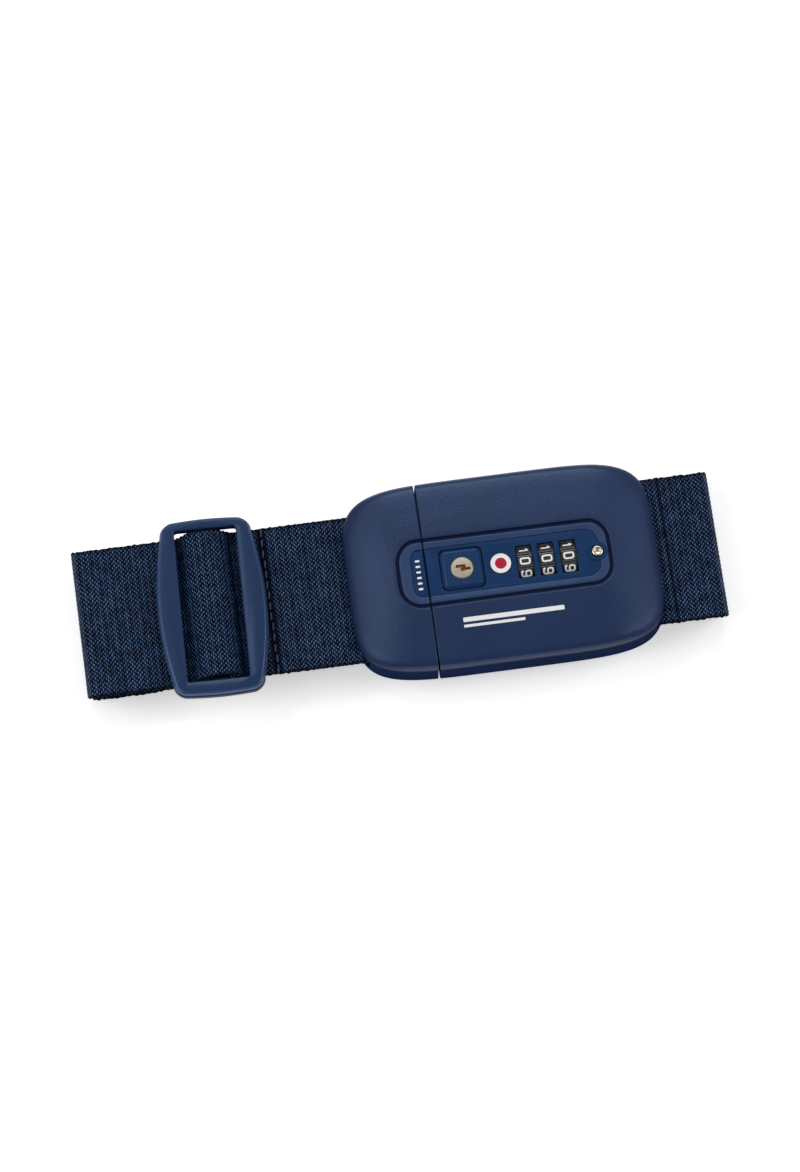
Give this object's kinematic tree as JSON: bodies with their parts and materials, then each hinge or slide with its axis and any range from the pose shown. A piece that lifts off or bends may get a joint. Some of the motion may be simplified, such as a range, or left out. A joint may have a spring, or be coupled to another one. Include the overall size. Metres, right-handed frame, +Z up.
{
  "type": "luggage strap",
  "caption": "Navy webbing luggage strap with a two-piece number-lock buckle and a three-bar slider; the length behind the front run is folded flat under it.",
  "frame": {"origin": "middle of the underside of the folded webbing, at the strap's mid length and mid width", "axes": "+X along the strap from the slider towards the lock half, +Y across the webbing, +Z up through the buckle's face"},
  "size_m": [0.2092, 0.0628, 0.0266],
  "materials": {
    "plastic_shell": "fine satin texture",
    "plastic_slider": "satin",
    "fascia": "smooth satin",
    "badge": "gloss",
    "wheel_black": "satin",
    "zinc": "cast, satin",
    "steel": "plated",
    "satin_nickel": "satin nickel",
    "brass": "satin",
    "webbing": "woven polypropylene, twill"
  },
  "bodies": {
    "lock_half": {"lock_top_cover": "plastic_shell", "lock_back_cover": "plastic_shell", "lock_fascia": "fascia", "badge_inlay": "badge", "lock_frame": "zinc", "dial_shaft": "steel", "dial_detent_spring": "steel", "right_webbing_bar": "steel", "reset_spring": "steel", "button_spring_1": "steel", "button_spring_2": "steel", "lock_cover_screw_1": "steel", "lock_cover_screw_2": "steel", "lock_cover_screw_3": "steel", "lock_cover_screw_4": "steel", "main_webbing_right": "webbing", "folded_webbing_pack": "webbing"},
    "tongue_half": {"tongue_top_cover": "plastic_shell", "tongue_back_cover": "plastic_shell", "tongue_pad": "fascia", "tongue_plate": "steel", "left_webbing_bar": "steel", "tongue_cover_screw_1": "steel", "tongue_cover_screw_2": "steel", "short_webbing": "webbing", "webbing_tail": "webbing", "main_webbing_left": "webbing"},
    "slider": {"slider_frame": "plastic_slider", "threaded_webbing": "webbing", "sewn_strap_loop": "webbing"},
    "number_dial_1": {"number_wheel_1": "wheel_black", "dial_sleeve_1": "brass"},
    "number_dial_2": {"number_wheel_2": "wheel_black", "dial_sleeve_2": "brass"},
    "number_dial_3": {"number_wheel_3": "wheel_black", "dial_sleeve_3": "brass"},
    "button": {"release_button": "fascia", "cylinder_barrel": "satin_nickel"},
    "key_cylinder": {"key_plug": "satin_nickel", "key_cam": "brass"},
    "latch": {"latch_bolt": "zinc"},
    "fence": {"code_bar": "zinc"},
    "reset": {"reset_pin": "brass"}
  },
  "joints": [
    {"name": "tongue_slide", "type": "slide", "parent": "lock_half", "child": "tongue_half", "axis": [-1, 0, 0], "range_m": [0, 0.024]},
    {"name": "slider_tilt", "type": "hinge", "parent": "tongue_half", "child": "slider", "pos_m": [-0.07905, 0, 0.01825], "axis": [0, -1, 0], "range_deg": [0, 12]},
    {"name": "dial_1", "type": "hinge", "parent": "lock_half", "child": "number_dial_1", "pos_m": [0.0408, 0, 0.0196], "axis": [1, 0, 0], "continuous": true},
    {"name": "dial_2", "type": "hinge", "parent": "lock_half", "child": "number_dial_2", "pos_m": [0.0479, 0, 0.0196], "axis": [1, 0, 0], "continuous": true},
    {"name": "dial_3", "type": "hinge", "parent": "lock_half", "child": "number_dial_3", "pos_m": [0.055, 0, 0.0196], "axis": [1, 0, 0], "continuous": true},
    {"name": "button_press", "type": "slide", "parent": "lock_half", "child": "button", "axis": [0, 0, -1], "range_m": [0, 0.0016], "stiffness_N_per_m": 600, "springref_m": -0.0015, "deforming": ["button_spring_1", "button_spring_2"]},
    {"name": "key_turn", "type": "hinge", "parent": "button", "child": "key_cylinder", "pos_m": [0.0203, 0, 0.0261], "axis": [0, 0, -1], "range_deg": [0, 90]},
    {"name": "latch_drop", "type": "slide", "parent": "lock_half", "child": "latch", "axis": [0, 0, -1], "range_m": [0, 0.0016]},
    {"name": "code_bar_slide", "type": "slide", "parent": "lock_half", "child": "fence", "axis": [0, 1, 0], "range_m": [0, 0.0015]},
    {"name": "reset_press", "type": "slide", "parent": "lock_half", "child": "reset", "axis": [0, 0, -1], "range_m": [0, 0.0014], "stiffness_N_per_m": 300, "springref_m": -0.0015, "deforming": ["reset_spring"]}
  ],
  "couplings": [
    {"joint": "latch_drop", "follows": "button_press", "ratio": 1},
    {"joint": "code_bar_slide", "follows": "button_press", "ratio": 0.9375}
  ]
}
